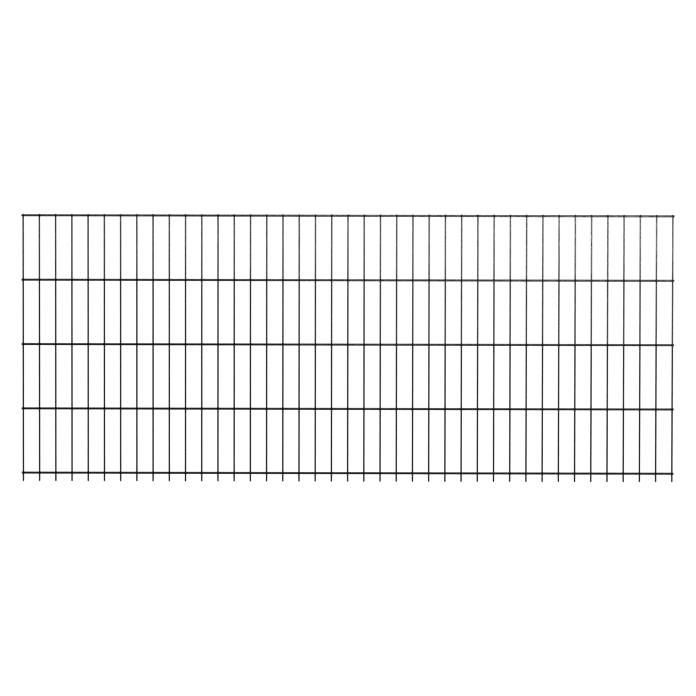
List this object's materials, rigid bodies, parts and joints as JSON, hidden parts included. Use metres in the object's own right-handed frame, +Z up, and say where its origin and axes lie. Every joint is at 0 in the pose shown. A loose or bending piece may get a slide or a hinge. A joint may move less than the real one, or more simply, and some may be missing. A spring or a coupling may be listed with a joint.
{
  "type": "double-rod welded mesh fence panel",
  "caption": "Flat welded mesh fence panel: upright wires held between twin horizontal rails at each level, flush top and short free tips below.",
  "frame": {"origin": "foot of the middle upright wire, in the plane of the tip ends: the bottom centre of the panel", "axes": "+X along the panel to the right as seen from the front, -Y towards the viewer in front, +Z up"},
  "size_m": [2.01, 0.013, 0.83],
  "materials": {
    "powder_coat": "dark moss green powder coat, satin"
  },
  "bodies": {
    "root": {"upright_wire_01": "powder_coat", "upright_wire_02": "powder_coat", "upright_wire_03": "powder_coat", "upright_wire_04": "powder_coat", "upright_wire_05": "powder_coat", "upright_wire_06": "powder_coat", "upright_wire_07": "powder_coat", "upright_wire_08": "powder_coat", "upright_wire_09": "powder_coat", "upright_wire_10": "powder_coat", "upright_wire_11": "powder_coat", "upright_wire_12": "powder_coat", "upright_wire_13": "powder_coat", "upright_wire_14": "powder_coat", "upright_wire_15": "powder_coat", "upright_wire_16": "powder_coat", "upright_wire_17": "powder_coat", "upright_wire_18": "powder_coat", "upright_wire_19": "powder_coat", "upright_wire_20": "powder_coat", "upright_wire_21": "powder_coat", "upright_wire_22": "powder_coat", "upright_wire_23": "powder_coat", "upright_wire_24": "powder_coat", "upright_wire_25": "powder_coat", "upright_wire_26": "powder_coat", "upright_wire_27": "powder_coat", "upright_wire_28": "powder_coat", "upright_wire_29": "powder_coat", "upright_wire_30": "powder_coat", "upright_wire_31": "powder_coat", "upright_wire_32": "powder_coat", "upright_wire_33": "powder_coat", "upright_wire_34": "powder_coat", "upright_wire_35": "powder_coat", "upright_wire_36": "powder_coat", "upright_wire_37": "powder_coat", "upright_wire_38": "powder_coat", "upright_wire_39": "powder_coat", "upright_wire_40": "powder_coat", "upright_wire_41": "powder_coat", "front_rail_1": "powder_coat", "back_rail_1": "powder_coat", "front_rail_2": "powder_coat", "back_rail_2": "powder_coat", "front_rail_3": "powder_coat", "back_rail_3": "powder_coat", "front_rail_4": "powder_coat", "back_rail_4": "powder_coat", "front_rail_5": "powder_coat", "back_rail_5": "powder_coat"}
  },
  "joints": []
}
